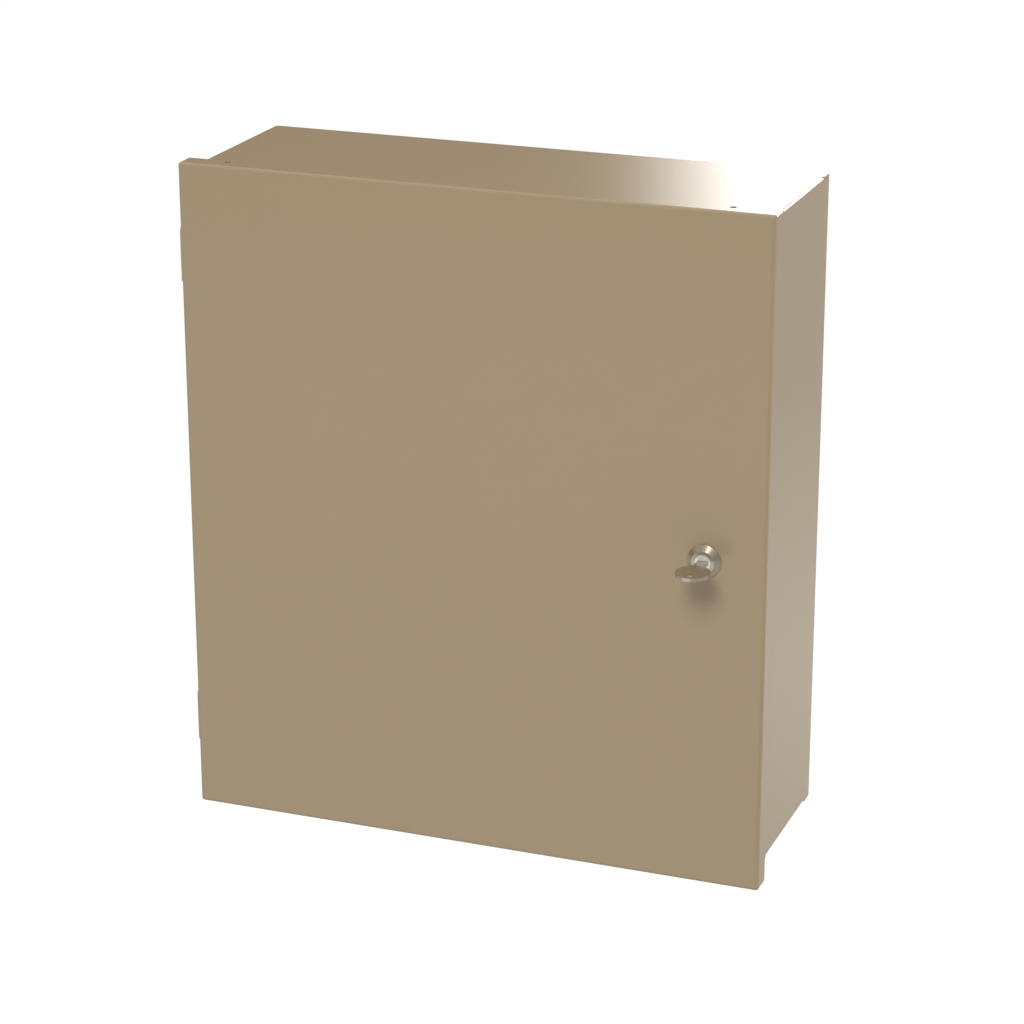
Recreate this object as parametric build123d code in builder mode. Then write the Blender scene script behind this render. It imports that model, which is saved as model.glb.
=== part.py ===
from build123d import *
import math
import os

# Wall-mounted electrical enclosure with a hinged, wrap-around door and a cam lock.
# Millimetres. The origin is the centre of the four wall fixings, on the face that
# lies on the wall. +X is to the right, +Y is into the wall and +Z is up.

# Body
body_width = 393.7
body_height = 441.3
body_depth = 127.0
body_sheet = 1.9
body_bend = 2.4
front_lip = 19.0
seam_gap = 0.1
back_flange = 12.7
flange_relief = 4.0
panel_corner_radius = 1.0
edge_fold_from_front = 20.0
edge_fold_from_back = 13.5

# Wall fixings
fixing_from_side = 15.85
fixing_from_end = 42.85
fixing_hole_radius = 3.6

# Door
door_sheet = 1.5
door_bend = 2.5
door_corner_radius = 2.0
door_return = 15.4
door_front_gap = 3.8
door_wrap_gap = 0.8
door_hinge_gap = 8.9
door_bottom_gap = 12.1
hanging_hole_radius = 2.2
hanging_hole_inset = 31.0
hanging_hole_from_front = 12.0

# Hinges
hinge_height = 38.1
hinge_leaf_sheet = 1.4
hinge_pin_radius = 1.5
hinge_pin_clearance = 0.05
hinge_knuckle_gap = 0.3
hinge_end_knuckle = 9.4
hinge_side_clearance = 0.3
hinge_axis_ahead_of_return = 0.2
hinge_swing_clearance = 0.4
hinge_body_leaf_length = 26.0
hinge_door_leaf_margin = 3.2
hinge_leaf_corner = 3.0
hinge_bend = 2.0
hinge_pin_proud = 0.6
upper_hinge_from_door_top = 63.5
lower_hinge_from_door_bottom = 63.5

# Mounting panel and its fixings
panel_from_side = 31.75
panel_from_end = 30.15
panel_sheet = 1.9
panel_edge = 9.5
panel_standoff = 12.7
panel_corner_notch = 3.0
stud_from_panel_edge = 12.7
stud_radius = 3.0
stud_collar_across_flats = 11.0
stud_thread_length = 14.0
stud_hole_clearance = 0.4
washer_radius = 6.5
washer_thickness = 1.4
nut_across_flats = 10.0
nut_thickness = 5.0
nut_bore_clearance = 0.05
ground_stud_from_side = 56.85
ground_stud_from_bottom = 21.4
ground_stud_length = 18.0

# Lock
lock_from_door_right = 41.4
lock_below_door_middle = 1.5
bezel_radius = 11.3
bezel_height = 3.6
bezel_rim = 0.8
bezel_mouth_radius = 7.6
barrel_radius = 9.5
barrel_flat = 8.0
barrel_length = 16.0
barrel_hole_clearance = 0.15
plug_head_radius = 5.35
plug_head_depth = 1.5
plug_radius = 4.9
plug_clearance = 0.05
lock_washer_radius = 13.0
lock_washer_thickness = 1.0
lock_nut_across_flats = 24.0
lock_nut_thickness = 3.5
drive_square = 6.6
drive_clearance = 0.1
cam_sheet = 2.0
cam_hub_radius = 8.5
cam_width = 12.0
cam_reach = 31.0
cam_crank_start = 11.0
cam_crank_end = 18.0
cam_bend = 2.6
cam_lip_clearance = 0.6
cam_tip_corner = 3.5
cam_end_play = 0.1
cam_washer_radius = 5.4
cam_washer_thickness = 1.0
cam_screw_across_flats = 7.0
cam_screw_head_height = 2.8
cam_screw_radius = 2.0
cam_screw_depth = 3.8
cam_screw_clearance = 0.05

# Key
key_sheet = 2.2
key_blade_width = 7.0
key_blade_length = 15.0
key_bow_width = 22.5
key_bow_length = 24.4
key_bow_from_door = 24.2
key_ring_hole_radius = 2.2
key_ring_hole_margin = 5.0
key_shoulder_gap = 0.3
key_tip = 2.0
keyway_clearance = 0.15
keyway_end_gap = 0.5
bitting_pitch = 2.3
bitting_depths = (0.9, 1.4, 0.6, 1.2, 0.8)
bitting_first = 3.0

# Places worked out from the sizes above
body_left = -body_width / 2
body_right = body_width / 2
body_top = body_height / 2
body_bottom = -body_height / 2
body_front = -body_depth
door_left = body_left - door_hinge_gap - door_sheet
door_right = body_right + door_wrap_gap + door_sheet
door_top = body_top + door_wrap_gap + door_sheet
door_bottom = body_bottom - door_bottom_gap - door_sheet
door_front = body_front - door_front_gap - door_sheet
door_back = door_front + door_return
door_inside = door_front + door_sheet

fixing_spacing_x = body_width - 2 * fixing_from_side
fixing_spacing_z = body_height - 2 * fixing_from_end
panel_width = body_width - 2 * panel_from_side
panel_height = body_height - 2 * panel_from_end
stud_spacing_x = panel_width - 2 * stud_from_panel_edge
stud_spacing_z = panel_height - 2 * stud_from_panel_edge

knuckle_radius = hinge_pin_radius + hinge_pin_clearance + hinge_leaf_sheet
hinge_x = door_left - hinge_side_clearance - knuckle_radius
hinge_y = door_back - hinge_axis_ahead_of_return
upper_hinge_z = door_top - upper_hinge_from_door_top
lower_hinge_z = door_bottom + lower_hinge_from_door_bottom

lock_x = door_right - lock_from_door_right
lock_z = (door_top + door_bottom) / 2 - lock_below_door_middle
lock_face = door_front - bezel_height
barrel_end = door_front + barrel_length
cam_back = barrel_end + cam_end_play + cam_sheet
lock_axis = Axis((lock_x, 0, lock_z), (0, 1, 0))
lock_section = Plane(origin=(lock_x, 0, lock_z))


def facing_front(y):
    """The upright plane at depth y, seen from the front."""
    return Plane.XZ.offset(-y)


def fold(points, thickness, bend, side):
    """Draws the section of a folded sheet: its outer face as a path, thickened to one side."""
    with BuildLine() as section:
        FilletPolyline(*points, radius=bend)
        offset(amount=thickness, side=side)
    make_face(section.edges())


def hexagon(across_flats):
    RegularPolygon(across_flats / 2, 6, major_radius=False)


os.makedirs("parts", exist_ok=True)


def save(part, name):
    part.label = name
    export_step(part, f"parts/{name}.step")


# Body wrap: back, side walls and upright lips from one sheet
edge_fold_front = body_front + edge_fold_from_front
edge_fold_length = body_depth - edge_fold_from_front - edge_fold_from_back
with BuildPart() as body_wrap:
    with BuildSketch(Plane.XY.offset(body_bottom)):
        fold(
            [
                (body_left + front_lip, body_front),
                (body_left, body_front),
                (body_left, 0),
                (body_right, 0),
                (body_right, body_front),
                (body_right - front_lip, body_front),
            ],
            body_sheet,
            body_bend,
            Side.RIGHT,
        )
    extrude(amount=body_height)
    # The ends of the right wall fold over to meet the panels, but for an ear at each corner
    with BuildSketch(facing_front(edge_fold_front)):
        for z in (body_top, body_bottom):
            with Locations((body_right, z)):
                Rectangle(2 * body_bend, 2 * body_bend)
    extrude(amount=-edge_fold_length, mode=Mode.SUBTRACT)
    with BuildSketch(facing_front(edge_fold_front)):
        for z in (body_top - body_bend, body_bottom + body_bend):
            with Locations((body_right - body_bend, z)):
                Circle(body_bend)
                Circle(body_bend - body_sheet, mode=Mode.SUBTRACT)
        # Only the quarter of each ring that rounds the corner is kept
        with Locations((body_right - 2 * body_bend, 0)):
            Rectangle(2 * body_bend, 2 * body_height, mode=Mode.SUBTRACT)
        with Locations((body_right - body_bend / 2, 0)):
            Rectangle(body_bend, body_height - 2 * body_bend, mode=Mode.SUBTRACT)
    extrude(amount=-edge_fold_length)
    with BuildSketch(facing_front(0)):
        with GridLocations(fixing_spacing_x, fixing_spacing_z, 2, 2):
            Circle(fixing_hole_radius)
    extrude(amount=body_sheet, mode=Mode.SUBTRACT)
save(body_wrap.part, "body_wrap")

# Top panel: its plate lies between the walls, with a flange turned down at front and back
panel_half = body_width / 2 - body_sheet - seam_gap
panel_back = -body_sheet - seam_gap
panel_front = body_front + body_sheet + seam_gap
with BuildPart() as top_panel:
    with BuildSketch(Plane.XY.offset(body_top)):
        with Locations((0, (panel_front + panel_back) / 2)):
            Rectangle(2 * panel_half, panel_back - panel_front)
    extrude(amount=-body_sheet)
    fillet(top_panel.edges().filter_by(Axis.Z), panel_corner_radius)
    with BuildSketch(Plane.XY.offset(body_top)):
        with Locations((body_right, edge_fold_front + edge_fold_length / 2)):
            Rectangle(2 * (body_bend + seam_gap), edge_fold_length + 2 * seam_gap)
    extrude(amount=-body_sheet, mode=Mode.SUBTRACT)
    with BuildSketch(Plane.YZ):
        fold(
            [
                (panel_back, body_top - back_flange),
                (panel_back, body_top),
                (panel_front / 2, body_top),
            ],
            body_sheet,
            body_bend,
            Side.LEFT,
        )
    extrude(amount=panel_half - flange_relief, both=True)
    with BuildSketch(Plane.YZ):
        fold(
            [
                (panel_front / 2, body_top),
                (body_front, body_top),
                (body_front, body_top - front_lip),
            ],
            body_sheet,
            body_bend,
            Side.LEFT,
        )
    extrude(amount=body_right - front_lip - seam_gap, both=True)
save(top_panel.part, "top_panel")

# Bottom panel: the same pressing, turned over
with BuildPart() as bottom_panel:
    mirror(top_panel.part, about=Plane.XY)
save(bottom_panel.part, "bottom_panel")

# Mounting panel: plate with its four edges folded back towards the wall
seat_y = -body_sheet - panel_standoff
panel_face = seat_y - panel_sheet
panel_edge_back = panel_face + panel_edge
with BuildPart() as mounting_panel:
    with BuildSketch(Plane.XY):
        fold(
            [
                (-panel_width / 2, panel_edge_back),
                (-panel_width / 2, panel_face),
                (panel_width / 2, panel_face),
                (panel_width / 2, panel_edge_back),
            ],
            panel_sheet,
            body_bend,
            Side.LEFT,
        )
    extrude(amount=panel_height / 2 - panel_corner_notch, both=True)
    with BuildSketch(Plane.YZ):
        fold(
            [
                (panel_edge_back, -panel_height / 2),
                (panel_face, -panel_height / 2),
                (panel_face, panel_height / 2),
                (panel_edge_back, panel_height / 2),
            ],
            panel_sheet,
            body_bend,
            Side.RIGHT,
        )
    extrude(amount=panel_width / 2 - panel_corner_notch, both=True)
    with BuildSketch(facing_front(seat_y)):
        with GridLocations(stud_spacing_x, stud_spacing_z, 2, 2):
            Circle(stud_radius + stud_hole_clearance)
    extrude(amount=panel_sheet, mode=Mode.SUBTRACT)
save(mounting_panel.part, "mounting_panel")

# Panel studs: a shoulder that the panel seats on and a threaded end
with BuildPart() as panel_studs:
    with BuildSketch(facing_front(-body_sheet)):
        with GridLocations(stud_spacing_x, stud_spacing_z, 2, 2):
            hexagon(stud_collar_across_flats)
    extrude(amount=panel_standoff)
    with BuildSketch(facing_front(seat_y)):
        with GridLocations(stud_spacing_x, stud_spacing_z, 2, 2):
            Circle(stud_radius)
    extrude(amount=stud_thread_length)
save(panel_studs.part, "panel_studs")


def washer(places, y, outer, bore, thickness):
    """Washers whose wall side lies at depth y."""
    with BuildPart() as ring:
        with BuildSketch(facing_front(y)):
            with Locations(*places):
                Circle(outer)
                Circle(bore, mode=Mode.SUBTRACT)
        extrude(amount=thickness)
    return ring.part


def nut(places, y, across_flats, bore, thickness, side=1):
    """Hexagon nuts whose seat lies at depth y."""
    with BuildPart() as hexes:
        with BuildSketch(facing_front(y)):
            with Locations(*places):
                hexagon(across_flats)
                Circle(bore, mode=Mode.SUBTRACT)
        extrude(amount=side * thickness)
    return hexes.part


stud_places = [
    (x, z)
    for x in (-stud_spacing_x / 2, stud_spacing_x / 2)
    for z in (-stud_spacing_z / 2, stud_spacing_z / 2)
]
stud_bore = stud_radius + nut_bore_clearance
save(washer(stud_places, panel_face, washer_radius, stud_bore, washer_thickness), "panel_washers")
save(
    nut(stud_places, panel_face - washer_thickness, nut_across_flats, stud_bore, nut_thickness),
    "panel_nuts",
)

# Ground stud with its washer and nut
ground_place = (body_left + ground_stud_from_side, body_bottom + ground_stud_from_bottom)
with BuildPart() as ground_stud:
    with BuildSketch(facing_front(-body_sheet)):
        with Locations(ground_place):
            Circle(stud_radius)
    extrude(amount=ground_stud_length)
save(ground_stud.part, "ground_stud")
save(washer([ground_place], -body_sheet, washer_radius, stud_bore, washer_thickness), "ground_washer")
save(
    nut([ground_place], -body_sheet - washer_thickness, nut_across_flats, stud_bore, nut_thickness),
    "ground_nut",
)

# Door pan: face and four returns folded from one sheet, corners welded and ground
door_middle = ((door_left + door_right) / 2, (door_top + door_bottom) / 2)
door_width = door_right - door_left
door_height = door_top - door_bottom
with BuildPart() as door_hollow:
    with BuildSketch(facing_front(door_inside)):
        with Locations(door_middle):
            Rectangle(door_width - 2 * door_sheet, door_height - 2 * door_sheet)
    extrude(amount=door_sheet - door_return)
    fillet(door_hollow.faces().sort_by(Axis.Y)[0].edges(), door_bend - door_sheet)
with BuildPart() as door_pan:
    with BuildSketch(facing_front(door_front)):
        with Locations(door_middle):
            Rectangle(door_width, door_height)
    extrude(amount=-door_return)
    fillet(door_pan.edges().filter_by(Axis.Y), door_corner_radius)
    fillet(door_pan.faces().sort_by(Axis.Y)[0].edges(), door_bend)
    add(door_hollow.part, mode=Mode.SUBTRACT)
    with BuildSketch(Plane.XY.offset(door_top)):
        for x in (door_left + hanging_hole_inset, door_right - hanging_hole_inset):
            with Locations((x, door_front + hanging_hole_from_front)):
                Circle(hanging_hole_radius)
    extrude(amount=-door_sheet, mode=Mode.SUBTRACT)
    with BuildSketch(facing_front(door_front)):
        with Locations((lock_x, lock_z)):
            Circle(barrel_radius + barrel_hole_clearance)
            Rectangle(
                4 * barrel_radius,
                2 * (barrel_flat + barrel_hole_clearance),
                mode=Mode.INTERSECT,
            )
    extrude(amount=-door_sheet, mode=Mode.SUBTRACT)
save(door_pan.part, "door_pan")


# Hinges: two end knuckles on the body leaf, one long knuckle on the door leaf
def hinge(prefix, centre_z):
    bottom = centre_z - hinge_height / 2
    top = centre_z + hinge_height / 2
    relief_size = 2 * (knuckle_radius + hinge_swing_clearance)
    pin_bore = hinge_pin_radius + hinge_pin_clearance

    with BuildPart() as body_leaf:
        leaf_front = hinge_y + knuckle_radius - hinge_leaf_sheet
        with BuildSketch(Plane.XY.offset(bottom)):
            fold(
                [
                    (hinge_x, leaf_front),
                    (body_left, leaf_front),
                    (body_left, leaf_front + hinge_body_leaf_length),
                ],
                hinge_leaf_sheet,
                hinge_bend,
                Side.LEFT,
            )
            with Locations((hinge_x, hinge_y)):
                Circle(knuckle_radius)
        extrude(amount=hinge_height)
        far_edges = body_leaf.faces().sort_by(Axis.Y)[-1].edges().filter_by(Axis.X)
        fillet(far_edges, hinge_leaf_corner)
        # Room for the long knuckle of the door leaf
        with BuildSketch(Plane.XY.offset(bottom + hinge_end_knuckle)):
            with Locations((hinge_x, hinge_y)):
                Rectangle(relief_size, relief_size)
        extrude(amount=hinge_height - 2 * hinge_end_knuckle, mode=Mode.SUBTRACT)
        with BuildSketch(Plane.XY.offset(bottom)):
            with Locations((hinge_x, hinge_y)):
                Circle(pin_bore)
        extrude(amount=hinge_height, mode=Mode.SUBTRACT)
    save(body_leaf.part, f"{prefix}_hinge_body_leaf")

    with BuildPart() as door_leaf:
        leaf_front = door_front + hinge_door_leaf_margin
        with BuildSketch(Plane.XY.offset(bottom)):
            with Locations((door_left - hinge_leaf_sheet / 2, (leaf_front + hinge_y) / 2)):
                Rectangle(hinge_leaf_sheet, hinge_y - leaf_front)
            with Locations((hinge_x, hinge_y)):
                Circle(knuckle_radius)
        extrude(amount=hinge_height)
        near_edges = door_leaf.faces().sort_by(Axis.Y)[0].edges().filter_by(Axis.X)
        fillet(near_edges, hinge_leaf_corner)
        # Room for the two end knuckles of the body leaf
        end_room = hinge_end_knuckle + hinge_knuckle_gap
        for start in (bottom, top - end_room):
            with BuildSketch(Plane.XY.offset(start)):
                with Locations((hinge_x, hinge_y)):
                    Rectangle(relief_size, relief_size)
            extrude(amount=end_room, mode=Mode.SUBTRACT)
        with BuildSketch(Plane.XY.offset(bottom)):
            with Locations((hinge_x, hinge_y)):
                Circle(pin_bore)
        extrude(amount=hinge_height, mode=Mode.SUBTRACT)
    save(door_leaf.part, f"{prefix}_hinge_door_leaf")

    with BuildPart() as pin:
        with BuildSketch(Plane.XY.offset(bottom - hinge_pin_proud)):
            with Locations((hinge_x, hinge_y)):
                Circle(hinge_pin_radius)
        extrude(amount=hinge_height + 2 * hinge_pin_proud)
    save(pin.part, f"{prefix}_hinge_pin")


hinge("upper", upper_hinge_z)
hinge("lower", lower_hinge_z)

# Lock housing: conical bezel and a barrel with two flats
plug_bore = plug_radius + plug_clearance
head_bore = plug_head_radius + plug_clearance
head_seat = lock_face + plug_head_depth
with BuildPart() as lock_housing:
    with BuildSketch(lock_section):
        with BuildLine():
            Polyline(
                (head_bore, lock_face),
                (bezel_mouth_radius, lock_face),
                (bezel_radius, door_front - bezel_rim),
                (bezel_radius, door_front),
                (barrel_radius, door_front),
                (barrel_radius, barrel_end),
                (plug_bore, barrel_end),
                (plug_bore, head_seat),
                (head_bore, head_seat),
                close=True,
            )
        make_face()
    revolve(axis=lock_axis)
    with BuildSketch(facing_front(door_front)):
        with Locations((lock_x, lock_z)):
            Circle(barrel_radius)
            Rectangle(4 * barrel_radius, 2 * barrel_flat, mode=Mode.SUBTRACT)
    extrude(amount=-barrel_length, mode=Mode.SUBTRACT)
save(lock_housing.part, "lock_housing")

# Washer and thin nut that clamp the lock to the door
lock_place = [(lock_x, lock_z)]
nut_bore = barrel_radius + nut_bore_clearance
washer_back = door_inside + lock_washer_thickness
save(
    washer(lock_place, washer_back, lock_washer_radius, nut_bore, lock_washer_thickness),
    "lock_washer",
)
save(
    nut(lock_place, washer_back, lock_nut_across_flats, nut_bore, lock_nut_thickness, side=-1),
    "lock_nut",
)

# Plug: headed cylinder with a keyway, a square drive and a screw hole
keyway_depth = key_blade_length + key_shoulder_gap + keyway_end_gap
with BuildPart() as lock_plug:
    with BuildSketch(facing_front(lock_face)):
        with Locations((lock_x, lock_z)):
            Circle(plug_head_radius)
    extrude(amount=-plug_head_depth)
    with BuildSketch(facing_front(lock_face + plug_head_depth)):
        with Locations((lock_x, lock_z)):
            Circle(plug_radius)
    extrude(amount=lock_face + plug_head_depth - barrel_end)
    with BuildSketch(facing_front(barrel_end)):
        with Locations((lock_x, lock_z)):
            Rectangle(drive_square, drive_square)
    extrude(amount=-cam_end_play - cam_sheet)
    with BuildSketch(facing_front(lock_face)):
        with Locations((lock_x, lock_z)):
            Rectangle(key_blade_width + 2 * keyway_clearance, key_sheet + 2 * keyway_clearance)
    extrude(amount=-keyway_depth, mode=Mode.SUBTRACT)
    with BuildSketch(facing_front(cam_back)):
        with Locations((lock_x, lock_z)):
            Circle(cam_screw_radius + cam_screw_clearance)
    extrude(amount=cam_screw_depth, mode=Mode.SUBTRACT)
save(lock_plug.part, "lock_plug")

# Cam: cranked forward so that its tip lies close behind the lip of the body
cam_hub_front = barrel_end + cam_end_play
cam_tip_front = body_front + body_sheet + cam_lip_clearance
with BuildPart() as lock_cam:
    with BuildSketch(Plane.YZ.offset(lock_x)):
        fold(
            [
                (cam_hub_front, lock_z),
                (cam_hub_front, lock_z + cam_crank_start),
                (cam_tip_front, lock_z + cam_crank_end),
                (cam_tip_front, lock_z + cam_reach),
            ],
            cam_sheet,
            cam_bend,
            Side.RIGHT,
        )
    extrude(amount=cam_width / 2, both=True)
    fillet(
        lock_cam.faces().sort_by(Axis.Z)[-1].edges().filter_by(Axis.Y),
        cam_tip_corner,
    )
    with BuildSketch(facing_front(cam_hub_front)):
        with Locations((lock_x, lock_z)):
            Circle(cam_hub_radius)
    extrude(amount=-cam_sheet)
    with BuildSketch(facing_front(cam_hub_front)):
        with Locations((lock_x, lock_z)):
            Rectangle(drive_square + 2 * drive_clearance, drive_square + 2 * drive_clearance)
    extrude(amount=-cam_sheet, mode=Mode.SUBTRACT)
save(lock_cam.part, "lock_cam")

# Washer and screw that hold the cam on its drive
screw_bore = cam_screw_radius + cam_screw_clearance
cam_washer_back = cam_back + cam_washer_thickness
save(
    washer(lock_place, cam_washer_back, cam_washer_radius, screw_bore, cam_washer_thickness),
    "cam_washer",
)
with BuildPart() as cam_screw:
    with BuildSketch(facing_front(cam_washer_back)):
        with Locations((lock_x, lock_z)):
            hexagon(cam_screw_across_flats)
    extrude(amount=-cam_screw_head_height)
    with BuildSketch(facing_front(cam_washer_back)):
        with Locations((lock_x, lock_z)):
            Circle(cam_screw_radius)
    extrude(amount=cam_washer_thickness + cam_screw_depth - keyway_end_gap)
save(cam_screw.part, "cam_screw")

# Key: flat oval bow and a blade cut on both edges
bow_y = door_front - key_bow_from_door
shoulder_y = lock_face - key_shoulder_gap
tip_y = shoulder_y + key_blade_length
half_blade = key_blade_width / 2
with BuildPart() as key:
    with BuildSketch(Plane.XY.offset(lock_z - key_sheet / 2)):
        with Locations((lock_x, bow_y)):
            Ellipse(key_bow_width / 2, key_bow_length / 2)
        with Locations((lock_x, (bow_y + shoulder_y) / 2)):
            Rectangle(key_blade_width, shoulder_y - bow_y)
        with BuildLine():
            Polyline(
                (lock_x - half_blade, shoulder_y),
                (lock_x - half_blade, tip_y - key_tip),
                (lock_x - half_blade + key_tip, tip_y),
                (lock_x + half_blade - key_tip, tip_y),
                (lock_x + half_blade, tip_y - key_tip),
                (lock_x + half_blade, shoulder_y),
                close=True,
            )
        make_face()
        with Locations((lock_x, bow_y - key_bow_length / 2 + key_ring_hole_margin)):
            Circle(key_ring_hole_radius, mode=Mode.SUBTRACT)
        # Each cut is a square set on its corner, sunk into one edge of the blade
        for number, depth in enumerate(bitting_depths):
            for edge in (-half_blade, half_blade):
                outward = math.copysign(bitting_pitch / 2 - depth, edge)
                place = (lock_x + edge + outward, shoulder_y + bitting_first + number * bitting_pitch)
                with Locations(place):
                    Rectangle(
                        bitting_pitch / math.sqrt(2),
                        bitting_pitch / math.sqrt(2),
                        rotation=45,
                        mode=Mode.SUBTRACT,
                    )
    extrude(amount=key_sheet)
save(key.part, "key")
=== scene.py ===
import math

import bpy
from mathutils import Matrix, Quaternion, Vector


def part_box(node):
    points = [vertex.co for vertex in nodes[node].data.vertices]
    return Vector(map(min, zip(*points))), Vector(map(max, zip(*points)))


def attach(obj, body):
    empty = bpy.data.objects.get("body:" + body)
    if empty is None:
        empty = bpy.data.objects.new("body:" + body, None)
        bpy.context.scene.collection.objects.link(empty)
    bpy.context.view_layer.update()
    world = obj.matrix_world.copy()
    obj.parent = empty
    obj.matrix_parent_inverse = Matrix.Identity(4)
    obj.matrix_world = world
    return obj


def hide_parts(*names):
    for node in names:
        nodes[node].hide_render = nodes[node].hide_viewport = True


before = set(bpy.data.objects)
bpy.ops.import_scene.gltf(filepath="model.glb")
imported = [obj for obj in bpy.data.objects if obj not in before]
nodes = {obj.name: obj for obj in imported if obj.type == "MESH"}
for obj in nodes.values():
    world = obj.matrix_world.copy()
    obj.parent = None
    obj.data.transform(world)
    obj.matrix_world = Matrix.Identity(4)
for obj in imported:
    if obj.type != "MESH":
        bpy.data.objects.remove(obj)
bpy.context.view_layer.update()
scene = bpy.context.scene

# Kinds of group sockets, and how far apart the nodes stand in the editor
rgb, val, vec = "NodeSocketColor", "NodeSocketFloat", "NodeSocketVector"
nodeSpacing = (200, -170)


# Feeds sockets in turn, each by a link from another node or by a plain value
def feed(tree, sockets, values):
    for socket, value in zip(sockets, values):
        if isinstance(value, bpy.types.NodeSocket):
            tree.links.new(value, socket)
        else:
            socket.default_value = value


def addNode(tree, kind, spot, **settings):
    node = tree.nodes.new(kind)
    node.location = (spot[0] * nodeSpacing[0], spot[1] * nodeSpacing[1])
    for name, value in settings.items():
        setattr(node, name, value)
    return node


def addMath(tree, operation, spot, *values):
    node = addNode(tree, "ShaderNodeMath", spot, operation=operation)
    feed(tree, node.inputs, values)
    return node.outputs[0]


def addVectorMath(tree, operation, spot, first, second):
    node = addNode(tree, "ShaderNodeVectorMath", spot, operation=operation)
    secondSocket = node.inputs["Scale"] if operation == "SCALE" else node.inputs[1]
    feed(tree, (node.inputs[0], secondSocket), (first, second))
    return node.outputs["Value" if operation in ("DOT_PRODUCT", "DISTANCE") else "Vector"]


def addNoise(tree, spot, place, scale, detail=2.0, roughness=0.5):
    node = addNode(tree, "ShaderNodeTexNoise", spot)
    sockets = [node.inputs[name] for name in ("Vector", "Scale", "Detail", "Roughness")]
    feed(tree, sockets, (place, scale, detail, roughness))
    return node.outputs["Fac"]


# Maps the stretch between two values of the source to 0 to 1, or to the range that is given
def addRange(tree, spot, source, fromEdge, toRange=(0, 1), easing="LINEAR"):
    node = addNode(tree, "ShaderNodeMapRange", spot, interpolation_type=easing)
    feed(tree, node.inputs, (source, *fromEdge, *toRange))
    return node.outputs["Result"]


def addMix(tree, kind, spot, factor, first, second):
    node = addNode(tree, "ShaderNodeMix", spot, data_type=kind)
    feed(tree, [node.inputs[name] for name in ("Factor", "A", "B")], (factor, first, second))
    return node.outputs["Result"]


def newGroup(name, inputs, outputs):
    group = bpy.data.node_groups.new(name, "ShaderNodeTree")
    for socketName, kind, default in inputs:
        socket = group.interface.new_socket(socketName, in_out="INPUT", socket_type=kind)
        socket.default_value = default
    for socketName, kind in outputs:
        group.interface.new_socket(socketName, in_out="OUTPUT", socket_type=kind)
    start = addNode(group, "NodeGroupInput", (-5, 0))
    end = addNode(group, "NodeGroupOutput", (5, 0))
    return group, start.outputs, end.inputs


def useGroup(tree, group, spot, **values):
    node = addNode(tree, "ShaderNodeGroup", spot, node_tree=group)
    feed(tree, [node.inputs[name.replace("_", " ")] for name in values], values.values())
    return node


# Cloudy change of tone with fine specks, for paint and plate that is never quite even
toneNoise = {"cloudDetail": 3.0, "speckDetail": 1.0, "middle": 0.5}


def makeToneGroup():
    group, given, put = newGroup(
        "unevenTone",
        [
            ("Place", vec, (0, 0, 0)),
            ("Colour", rgb, (0.5, 0.5, 0.5, 1)),
            ("Cloud Scale", val, 9.0),
            ("Amount", val, 0.03),
            ("Speck Scale", val, 2200.0),
            ("Speck Amount", val, 0.02),
        ],
        [("Colour", rgb), ("Cloud", val)],
    )
    cloud = addNoise(group, (-3, 0), given["Place"], given["Cloud Scale"], toneNoise["cloudDetail"])
    speck = addNoise(group, (-3, 2), given["Place"], given["Speck Scale"], toneNoise["speckDetail"])
    brightness = 1.0
    for row, (noise, amount) in enumerate(((cloud, "Amount"), (speck, "Speck Amount"))):
        shift = addMath(group, "SUBTRACT", (-2, row), noise, toneNoise["middle"])
        brightness = addMath(group, "MULTIPLY_ADD", (row, 0), shift, given[amount], brightness)
    tinted = addVectorMath(group, "SCALE", (3, 0), given["Colour"], brightness)
    feed(group, (put["Colour"], put["Cloud"]), (tinted, cloud))
    return group


# Mask of the outer edges, found where a rounded normal leaves the true one
edgeSearch = {"samples": 4, "likeness": (0.99, 0.80), "patches": (0.35, 0.65)}


def makeEdgeGroup():
    group, given, put = newGroup(
        "edgeMask",
        [("Place", vec, (0, 0, 0)), ("Width", val, 0.001), ("Break Up", val, 300.0)],
        [("Mask", val)],
    )
    rounded = addNode(group, "ShaderNodeBevel", (-3, 0), samples=edgeSearch["samples"])
    feed(group, (rounded.inputs["Radius"],), (given["Width"],))
    true = addNode(group, "ShaderNodeNewGeometry", (-3, 1))
    likeness = addVectorMath(
        group, "DOT_PRODUCT", (-2, 0), rounded.outputs["Normal"], true.outputs["Normal"]
    )
    edge = addRange(group, (-1, 0), likeness, edgeSearch["likeness"])
    patches = addNoise(group, (-3, 3), given["Place"], given["Break Up"])
    patchy = addRange(group, (-1, 2), patches, edgeSearch["patches"])
    feed(group, (put["Mask"],), (addMath(group, "MULTIPLY", (1, 0), edge, patchy),))
    return group


# Orange peel of a sprayed and baked coat, as a height
peelNoise = {"detail": 1.0}


def makePeelGroup():
    group, given, put = newGroup(
        "orangePeel",
        [
            ("Place", vec, (0, 0, 0)),
            ("Coarse", val, 260.0),
            ("Fine", val, 1500.0),
            ("Fine Share", val, 0.35),
        ],
        [("Height", val)],
    )
    coarse = addNoise(group, (-3, 0), given["Place"], given["Coarse"], peelNoise["detail"])
    fine = addNoise(group, (-3, 2), given["Place"], given["Fine"], peelNoise["detail"])
    total = addMath(group, "MULTIPLY_ADD", (-1, 0), fine, given["Fine Share"], coarse)
    feed(group, (put["Height"],), (total,))
    return group


# Fine scratches that run one way, as a height
scratchNoise = {"detail": 4.0, "roughness": 0.7}


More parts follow.
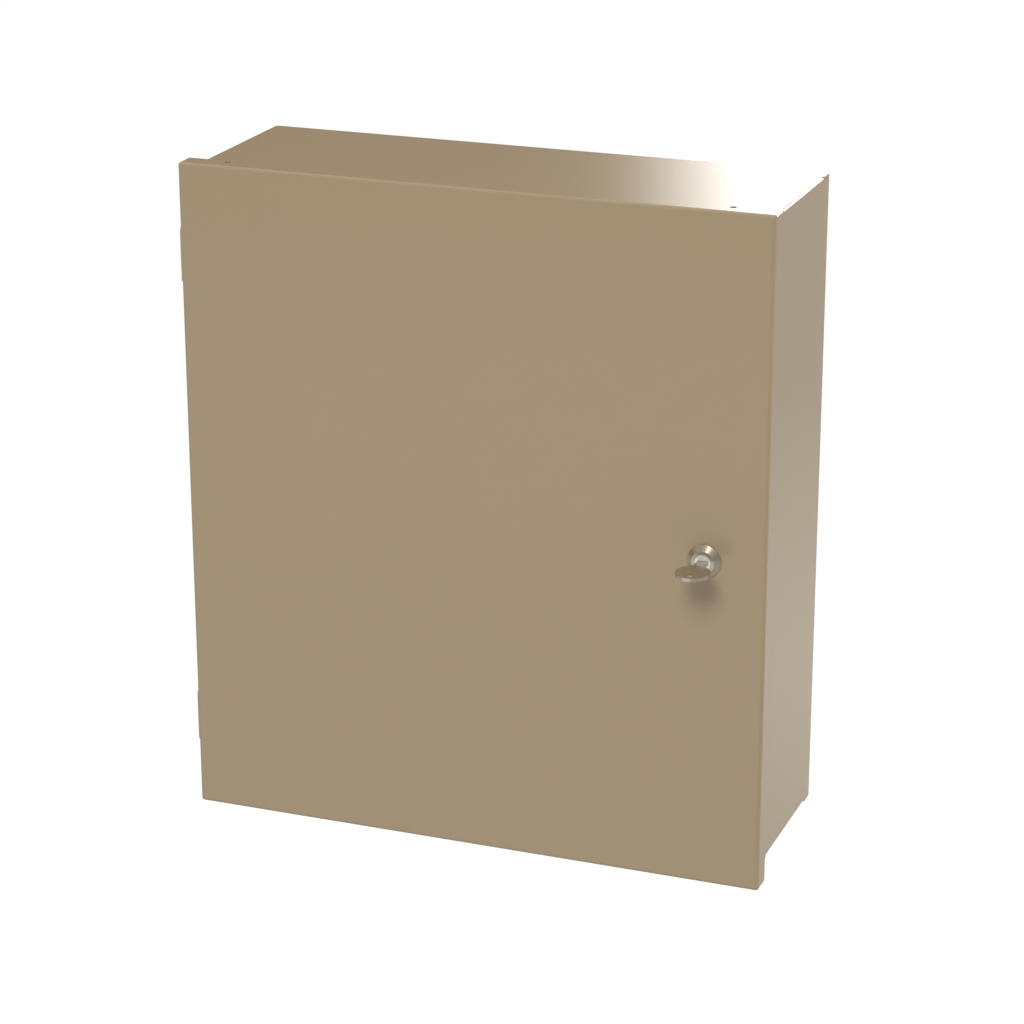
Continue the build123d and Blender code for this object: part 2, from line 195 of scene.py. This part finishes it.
def makeScratchGroup():
    group, given, put = newGroup(
        "fineScratches",
        [("Place", vec, (0, 0, 0)), ("Stretch", vec, (1, 1, 1)), ("Scale", val, 900.0)],
        [("Height", val)],
    )
    pulled = addVectorMath(group, "MULTIPLY", (-3, 0), given["Place"], given["Stretch"])
    lines = addNoise(
        group, (-2, 0), pulled, given["Scale"], scratchNoise["detail"], scratchNoise["roughness"]
    )
    feed(group, (put["Height"],), (lines,))
    return group


toneGroup = makeToneGroup()
edgeGroup = makeEdgeGroup()
peelGroup = makePeelGroup()
scratchGroup = makeScratchGroup()
print("shared effects made")


# A finish: uneven tone, lighter edges, a sheen that varies a little and a fine relief.
# The sheen follows the clouds of the tone on paint, and the scratches on metal.
def makeFinish(name, look, reliefGroup, **reliefValues):
    material = bpy.data.materials.new(name)
    material.use_nodes = True
    tree = material.node_tree
    shader = tree.nodes["Principled BSDF"]
    shader.inputs["Metallic"].default_value = look["metallic"]
    shader.inputs["Roughness"].default_value = look["roughness"]
    shader.inputs["IOR"].default_value = look["ior"]
    place = addNode(tree, "ShaderNodeTexCoord", (-6, 0)).outputs["Object"]
    tone = useGroup(
        tree, toneGroup, (-4, 0), Place=place, Colour=(*look["colour"], 1),
        Cloud_Scale=look["cloudScale"], Amount=look["cloudAmount"],
        Speck_Scale=look["speckScale"], Speck_Amount=look["speckAmount"],
    )
    edge = useGroup(
        tree, edgeGroup, (-4, 2), Place=place, Width=look["edgeWidth"], Break_Up=look["edgeBreakUp"]
    )
    relief = useGroup(tree, reliefGroup, (-4, 4), Place=place, **reliefValues)
    share = addMath(tree, "MULTIPLY", (-3, 2), edge.outputs["Mask"], look["edgeShare"])
    colour = addMix(tree, "RGBA", (-2, 0), share, tone.outputs["Colour"], (*look["edgeColour"], 1))
    sheenSource = relief.outputs["Height"] if look["metallic"] else tone.outputs["Cloud"]
    spread = look["roughnessSpread"]
    sheen = addRange(
        tree, (-2, 1.5), sheenSource, (0, 1), (look["roughness"] - spread, look["roughness"] + spread)
    )
    bump = addNode(tree, "ShaderNodeBump", (-2, 4))
    bump.inputs["Strength"].default_value = look["reliefStrength"]
    bump.inputs["Distance"].default_value = look["reliefDepth"]
    feed(tree, (bump.inputs["Height"],), (relief.outputs["Height"],))
    sockets = [shader.inputs[name] for name in ("Base Color", "Roughness", "Normal")]
    feed(tree, sockets, (colour, sheen, bump.outputs["Normal"]))
    return material


def makePaint(name, look):
    return makeFinish(name, look, peelGroup, Coarse=look["peelCoarse"], Fine=look["peelFine"])


def makeMetal(name, look):
    return makeFinish(
        name, look, scratchGroup, Stretch=look["scratchStretch"], Scale=look["scratchScale"]
    )


def dress(material, *names):
    for name in names:
        for slot in nodes[name].material_slots:
            slot.material = material


# Baked powder coat
enclosurePaint = {
    "colour": (0.336, 0.257, 0.156),
    "metallic": 0.0,
    "roughness": 0.17,
    "roughnessSpread": 0.015,
    "ior": 1.5,
    "cloudScale": 7.0,
    "cloudAmount": 0.02,
    "speckScale": 1800.0,
    "speckAmount": 0.02,
    "edgeWidth": 0.0008,
    "edgeBreakUp": 220.0,
    "edgeShare": 0.06,
    "edgeColour": (0.42, 0.34, 0.23),
    "peelCoarse": 260.0,
    "peelFine": 1500.0,
    "reliefStrength": 0.05,
    "reliefDepth": 0.0002,
}
panelPaint = dict(
    enclosurePaint,
    colour=(0.78, 0.77, 0.73),
    edgeColour=(0.85, 0.84, 0.81),
    roughness=0.4,
)

paint = makePaint("enclosurePaint", enclosurePaint)
whitePaint = makePaint("panelPaint", panelPaint)
dress(
    paint, "body_wrap", "top_panel", "bottom_panel", "door_pan",
    "upper_hinge_body_leaf", "upper_hinge_door_leaf", "lower_hinge_body_leaf", "lower_hinge_door_leaf",
)
dress(whitePaint, "mounting_panel")

# Plated metal, with fine scratches and edges rubbed brighter
nickelPlate = {
    # The housing's colour is nickel made darker and warmer: a painted reflection of the beige door around
    # the lock
    "colour": (0.60, 0.51, 0.39),
    "metallic": 0.85,
    "ior": 1.5,
    "roughness": 0.30,
    "roughnessSpread": 0.05,
    "cloudScale": 90.0,
    "cloudAmount": 0.06,
    "speckScale": 3000.0,
    "speckAmount": 0.03,
    "edgeWidth": 0.0004,
    "edgeBreakUp": 600.0,
    "edgeShare": 0.4,
    "edgeColour": (0.9, 0.87, 0.8),
    "scratchStretch": (1.0, 6.0, 1.0),
    "scratchScale": 700.0,
    "reliefStrength": 0.15,
    "reliefDepth": 0.0001,
}
# The plug is a lighter, creamier copy of the housing's nickel, with strong dark cloudy spots: a painted
# reflection of a bright face with dark spots in it
plugPlate = dict(
    nickelPlate,
    colour=(0.86, 0.82, 0.72),
    cloudScale=420.0,
    cloudAmount=0.7,
    metallic=0.45,
    roughness=0.33,
    scratchStretch=(1.0, 1.0, 6.0),
    reliefStrength=0.3,
)
keyPlate = dict(
    nickelPlate,
    colour=(0.62, 0.57, 0.48),
    metallic=0.9,
    roughness=0.26,
    scratchStretch=(5.0, 1.0, 1.0),
)
zincPlate = dict(
    nickelPlate,
    colour=(0.66, 0.66, 0.64),
    metallic=0.8,
    roughness=0.34,
    roughnessSpread=0.08,
    cloudAmount=0.18,
    edgeColour=(0.75, 0.75, 0.73),
)
pinSteel = dict(
    zincPlate,
    colour=(0.5, 0.5, 0.48),
    scratchStretch=(1.0, 1.0, 8.0),
)

nickel = makeMetal("nickelPlate", nickelPlate)
plugMetal = makeMetal("plugPlate", plugPlate)
keyMetal = makeMetal("keyPlate", keyPlate)
zinc = makeMetal("zincPlate", zincPlate)
steel = makeMetal("pinSteel", pinSteel)
dress(nickel, "lock_housing")
dress(plugMetal, "lock_plug")
dress(keyMetal, "key")
dress(
    zinc, "panel_studs", "panel_washers", "panel_nuts", "ground_stud", "ground_washer", "ground_nut",
    "lock_washer", "lock_nut", "lock_cam", "cam_washer", "cam_screw",
)
dress(steel, "upper_hinge_pin", "lower_hinge_pin")
print("materials made")


# Marks only these objects, the first as the active one
def selectOnly(*pieces):
    bpy.ops.object.select_all(action="DESELECT")
    for piece in pieces:
        piece.select_set(True)
    if pieces:
        bpy.context.view_layer.objects.active = pieces[0]


# Marks the corners that pass a test, ready for an edit-mode operator
def pickCorners(piece, test):
    bpy.ops.object.mode_set(mode="EDIT")
    bpy.ops.mesh.select_mode(type="VERT")
    bpy.ops.mesh.select_all(action="DESELECT")
    bpy.ops.object.mode_set(mode="OBJECT")
    for corner in piece.data.vertices:
        corner.select = test(corner.co)
    bpy.ops.object.mode_set(mode="EDIT")


def applyModifier(piece, kind, **settings):
    modifier = piece.modifiers.new(kind.lower(), kind)
    for name, value in settings.items():
        setattr(modifier, name, value)
    bpy.ops.object.modifier_apply(modifier=modifier.name)


# Thread of the panel studs and the ground stud, which their nuts run on
studThread = {
    "crest": 0.0030,
    "pitch": 0.0010,
    "steps": 28,
    "spareTurns": 3,
    "mergeDistance": 1e-5,
    "cutTolerance": 1e-7,
    "smoothAngle": 25.0,
}


# A rod along +Z whose whole length is thread, cut flat at both ends. Its ridge is a square
# stood on a corner, less the corner inside the rod, which the Screw modifier winds round.
def makeThreadedRod(name, length):
    pitch = studThread["pitch"]
    root = studThread["crest"] - pitch / 2
    selectOnly()
    bpy.ops.mesh.primitive_circle_add(
        vertices=4, radius=pitch / 2, location=(root, 0, -pitch), rotation=(math.pi / 2, 0, 0)
    )
    rod = bpy.context.object
    rod.name = name
    bpy.ops.object.transform_apply(location=True, rotation=True)
    pickCorners(rod, lambda corner: corner.x < root - pitch / 4)
    bpy.ops.mesh.delete(type="VERT")
    bpy.ops.object.mode_set(mode="OBJECT")
    applyModifier(
        rod, "SCREW", screw_offset=pitch, iterations=round(length / pitch) + studThread["spareTurns"],
        steps=studThread["steps"], render_steps=studThread["steps"], use_merge_vertices=True,
    )
    bpy.ops.object.mode_set(mode="EDIT")
    bpy.ops.mesh.select_all(action="SELECT")
    bpy.ops.mesh.remove_doubles(threshold=studThread["mergeDistance"])
    bpy.ops.mesh.normals_make_consistent(inside=False)
    for height, outward in ((0, -1), (length, 1)):
        bpy.ops.mesh.select_all(action="SELECT")
        bpy.ops.mesh.bisect(
            plane_co=(0, 0, height), plane_no=(0, 0, outward), use_fill=True, clear_outer=True,
            threshold=studThread["cutTolerance"],
        )
    bpy.ops.mesh.select_all(action="SELECT")
    bpy.ops.mesh.normals_make_consistent(inside=False)
    bpy.ops.object.mode_set(mode="OBJECT")
    return rod


# Turns a piece made along +Z to stand out of the wall, and sets it in its place
def standOut(piece, place):
    selectOnly(piece)
    piece.rotation_euler = (math.pi / 2, 0, 0)
    piece.location = place
    bpy.ops.object.transform_apply(location=True, rotation=True)


def joinPieces(name, pieces):
    selectOnly(*pieces)
    if len(pieces) > 1:
        bpy.ops.object.join()
    pieces[0].name = name
    bpy.ops.object.shade_smooth_by_angle(angle=math.radians(studThread["smoothAngle"]))
    return pieces[0]


def finishPiece(piece, material, body, slotName, *nodeNames):
    piece.data.materials.clear()
    piece.data.materials.append(material)
    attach(piece, body)
    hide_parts(*nodeNames)


# Collar that the mounting panel seats on, with two of its six corners to left and right
studCollar = {
    "acrossFlats": 0.011,
    "threadLength": 0.014,
    "turn": 30.0,
    "edge": 0.0004,
    "edgeSteps": 2,
    "seat": 0.0003,
}


# Panel stud along +Z, from its base on the wall to its tip: a hexagon collar, then the thread,
# whose rod starts inside the collar by the depth of its seat
def makePanelStud(base, tip):
    collarLength = base - tip - studCollar["threadLength"]
    selectOnly()
    bpy.ops.mesh.primitive_cylinder_add(
        vertices=6, radius=studCollar["acrossFlats"] / math.sqrt(3), depth=collarLength,
        location=(0, 0, collarLength / 2), rotation=(0, 0, math.radians(studCollar["turn"])),
    )
    collar = bpy.context.object
    bpy.ops.object.transform_apply(location=True, rotation=True)
    applyModifier(
        collar, "BEVEL", width=studCollar["edge"], segments=studCollar["edgeSteps"], limit_method="ANGLE"
    )
    rod = makeThreadedRod("studThread", studCollar["threadLength"] + studCollar["seat"])
    rod.location = (0, 0, collarLength - studCollar["seat"])
    bpy.ops.object.transform_apply(location=True)
    return joinPieces("panelStud", [collar, rod])


studLow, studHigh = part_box("panel_studs")
washersLow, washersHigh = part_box("panel_washers")
oneWasherLow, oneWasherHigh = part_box("ground_washer")
washerRadius = (oneWasherHigh[0] - oneWasherLow[0]) / 2
firstStud = makePanelStud(studHigh[1], studLow[1])
studs = []
for x in (washersLow[0] + washerRadius, washersHigh[0] - washerRadius):
    for z in (washersLow[2] + washerRadius, washersHigh[2] - washerRadius):
        stud = firstStud.copy()
        stud.data = firstStud.data.copy()
        scene.collection.objects.link(stud)
        standOut(stud, (x, studHigh[1], z))
        studs.append(stud)
bpy.data.objects.remove(firstStud)
finishPiece(joinPieces("threadedPanelStuds", studs), zinc, "enclosure", "zinc_steel", "panel_studs")

groundLow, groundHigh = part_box("ground_stud")
groundX, groundZ = ((groundLow[axis] + groundHigh[axis]) / 2 for axis in (0, 2))
groundRod = makeThreadedRod("groundRod", groundHigh[1] - groundLow[1])
standOut(groundRod, (groundX, groundHigh[1], groundZ))
finishPiece(joinPieces("threadedGroundStud", [groundRod]), zinc, "enclosure", "zinc_steel", "ground_stud")
print("threads made")


# Floor, as far below as under an enclosure at eye height. To the eye it is nearly white, and
# reflections see a whiteness that changes with the distance along Y, in metres, and a bright
# spot in front on the left: it fades between the two distances of its edge.
floorSettings = {
    "height": -1.5,
    "size": 40.0,
    "colour": (0.82, 0.82, 0.81, 1),
    "roughness": 0.9,
    "seenStrength": 1.07,
    "seenShare": 0.9,
    "mirroredRows": ((2.0, 0.42), (3.2, 0.80), (4.8, 0.50)),
    "rowsTo": 6.0,
    "brightSpot": (-1.5, -4.0, 0.0),
    "spotEdge": (3.2, 1.6),
    "spotWhite": 0.85,
}


def makeFloorMaterial(look):
    material = bpy.data.materials.new("floor")
    material.use_nodes = True
    tree = material.node_tree
    matte = tree.nodes["Principled BSDF"]
    matte.inputs["Base Color"].default_value = look["colour"]
    matte.inputs["Roughness"].default_value = look["roughness"]
    path = addNode(tree, "ShaderNodeLightPath", (-7, 0)).outputs
    place = addNode(tree, "ShaderNodeTexCoord", (-7, 2)).outputs["Object"]
    placeParts = addNode(tree, "ShaderNodeSeparateXYZ", (-6, 2))
    feed(tree, placeParts.inputs, (place,))
    row = addRange(tree, (-5, 2), placeParts.outputs["Y"], (0, look["rowsTo"]))
    rowWhite = addNode(tree, "ShaderNodeValToRGB", (-4, 2))
    stops = rowWhite.color_ramp.elements
    stops.new(0.5)
    for stop, (distance, white) in zip(stops, look["mirroredRows"]):
        stop.position = distance / look["rowsTo"]
        stop.color = (white, white, white, 1)
    feed(tree, rowWhite.inputs, (row,))
    fromSpot = addVectorMath(tree, "DISTANCE", (-6, 4), place, look["brightSpot"])
    spot = addRange(tree, (-5, 4), fromSpot, look["spotEdge"], (0, look["spotWhite"]), "SMOOTHSTEP")
    mirrored = addMath(tree, "MAXIMUM", (-3, 3), rowWhite.outputs["Color"], spot)
    strength = addMix(tree, "FLOAT", (-2, 2), path["Is Camera Ray"], mirrored, look["seenStrength"])
    glow = addNode(tree, "ShaderNodeEmission", (-1, 2))
    feed(tree, (glow.inputs["Color"], glow.inputs["Strength"]), ((1, 1, 1, 1), strength))
    seen = addMath(tree, "MULTIPLY", (-3, 0), path["Is Camera Ray"], look["seenShare"])
    glowing = addMath(tree, "MAXIMUM", (-2, 0), seen, path["Is Glossy Ray"])
    surface = addNode(tree, "ShaderNodeMixShader", (1, 0))
    feed(tree, surface.inputs, (glowing, matte.outputs["BSDF"], glow.outputs["Emission"]))
    feed(tree, (tree.nodes["Material Output"].inputs["Surface"],), (surface.outputs["Shader"],))
    return material


selectOnly()
bpy.ops.mesh.primitive_plane_add(size=floorSettings["size"], location=(0, 0, floorSettings["height"]))
floor = bpy.context.object
floor.name = "floor"
floor.data.materials.append(makeFloorMaterial(floorSettings))

# World: white to the eye and an even fill on the object. Reflections see a studio, with a dim
# dome, a bright screen behind the enclosure and a soft window high in front. Each edge runs
# from where it starts to where it is full: headings in degrees from straight behind the
# enclosure, heights as the sine of the angle above the horizon, the window as nearly the
# cosine of the angle from its middle, and the front as the part of the direction along Y.
studio = {
    "seen": 1.0,
    "fill": 0.50,
    "dim": 0.04,
    "ceiling": 0.25,
    "ceilingEdge": (0.26, 0.36),
    "screen": 6.5,
    "headingEdges": ((-19.0, -14.2), (30.0, 22.0)),
    "heightEdges": ((-0.02, 0.07), (0.35, 0.32)),
    "window": 5.0,
    "windowWay": (0.11, -0.68, 0.72),
    "windowEdge": (0.980, 0.994),
    "front": 0.14,
    "frontEdge": (0.1, -0.4),
}


def makeWorld(look):
    world = bpy.data.worlds.new("studio")
    world.use_nodes = True
    world.cycles.sampling_method = "NONE"
    tree = world.node_tree
    path = addNode(tree, "ShaderNodeLightPath", (-8, -3)).outputs
    way = addNode(tree, "ShaderNodeTexCoord", (-8, 0)).outputs["Generated"]
    wayParts = addNode(tree, "ShaderNodeSeparateXYZ", (-7, 0))
    feed(tree, wayParts.inputs, (way,))
    wayX, wayY, wayZ = wayParts.outputs
    heading = addMath(tree, "ARCTAN2", (-6, 0), wayX, wayY)
    degrees = addMath(tree, "DEGREES", (-5, 0), heading)
    edges = [(degrees, edge) for edge in look["headingEdges"]]
    edges += [(wayZ, edge) for edge in look["heightEdges"]]
    screen = look["screen"]
    for row, (source, edge) in enumerate(edges):
        ramp = addRange(tree, (-4, row), source, edge, easing="SMOOTHSTEP")
        screen = addMath(tree, "MULTIPLY", (-3, row), ramp, screen)
    toWindow = addVectorMath(tree, "DOT_PRODUCT", (-5, 5), way, look["windowWay"])
    glows = (
        (wayZ, look["ceilingEdge"], (look["dim"], look["ceiling"])),
        (toWindow, look["windowEdge"], (0, look["window"])),
        (wayY, look["frontEdge"], (0, look["front"])),
    )
    mirrored = screen
    for row, (source, edge, strengths) in enumerate(glows, start=len(edges)):
        ramp = addRange(tree, (-4, row), source, edge, strengths, "SMOOTHSTEP")
        mirrored = addMath(tree, "ADD", (-2, row), mirrored, ramp)
    lit = addMix(tree, "FLOAT", (-1, 0), path["Is Glossy Ray"], look["fill"], mirrored)
    strength = addMix(tree, "FLOAT", (0, 0), path["Is Camera Ray"], lit, look["seen"])
    background = tree.nodes["Background"].inputs
    feed(tree, (background["Color"], background["Strength"]), ((1, 1, 1, 1), strength))
    return world


scene.world = makeWorld(studio)

# Soft boxes, aimed at the middle of the wall face and unseen in reflections: the place, the
# two sides and the power of each
softBoxes = {
    "keyBox": {"at": (0.25, -3.75, 3.3), "size": (1.5, 1.5), "power": 135.0},
    "sideBox": {"at": (3.67, 2.12, -0.3), "size": (2.2, 2.2), "power": 83.0},
    "hingeSideBox": {"at": (-4.1, 1.0, -0.3), "size": (2.2, 2.2), "power": 58.0},
    "topBox": {"at": (0.1, 1.6, 3.1), "size": (1.6, 1.6), "power": 60.0},
}
for name, box in softBoxes.items():
    lampData = bpy.data.lights.new(name, "AREA")
    lampData.shape = "RECTANGLE"
    lampData.size, lampData.size_y = box["size"]
    lampData.energy = box["power"]
    lamp = bpy.data.objects.new(name, lampData)
    scene.collection.objects.link(lamp)
    lamp.visible_glossy = False
    lamp.location = box["at"]
    lamp.rotation_euler = (-Vector(box["at"])).to_track_quat("-Z", "Y").to_euler()
print("light and floor set")

# Camera, fitted to the enclosure's edges in the photograph
cameraSettings = {
    "position": (0.70845, -1.92765, 0.69390),
    "towards": (-0.334522, 0.880626, -0.335549),
    "roll": -0.077,
    "lens": 110.11,
    "sensor": 36.0,
    "near": 0.1,
    "far": 100.0,
}
cameraData = bpy.data.cameras.new("camera")
cameraData.sensor_width = cameraSettings["sensor"]
cameraData.lens = cameraSettings["lens"]
cameraData.clip_start = cameraSettings["near"]
cameraData.clip_end = cameraSettings["far"]
camera = bpy.data.objects.new("camera", cameraData)
scene.collection.objects.link(camera)
camera.location = cameraSettings["position"]
camera.rotation_mode = "QUATERNION"
aim = Vector(cameraSettings["towards"]).to_track_quat("-Z", "Y")
camera.rotation_quaternion = aim @ Quaternion((0, 0, 1), math.radians(cameraSettings["roll"]))
scene.camera = camera
scene.view_settings.view_transform = "Standard"
print("camera set")
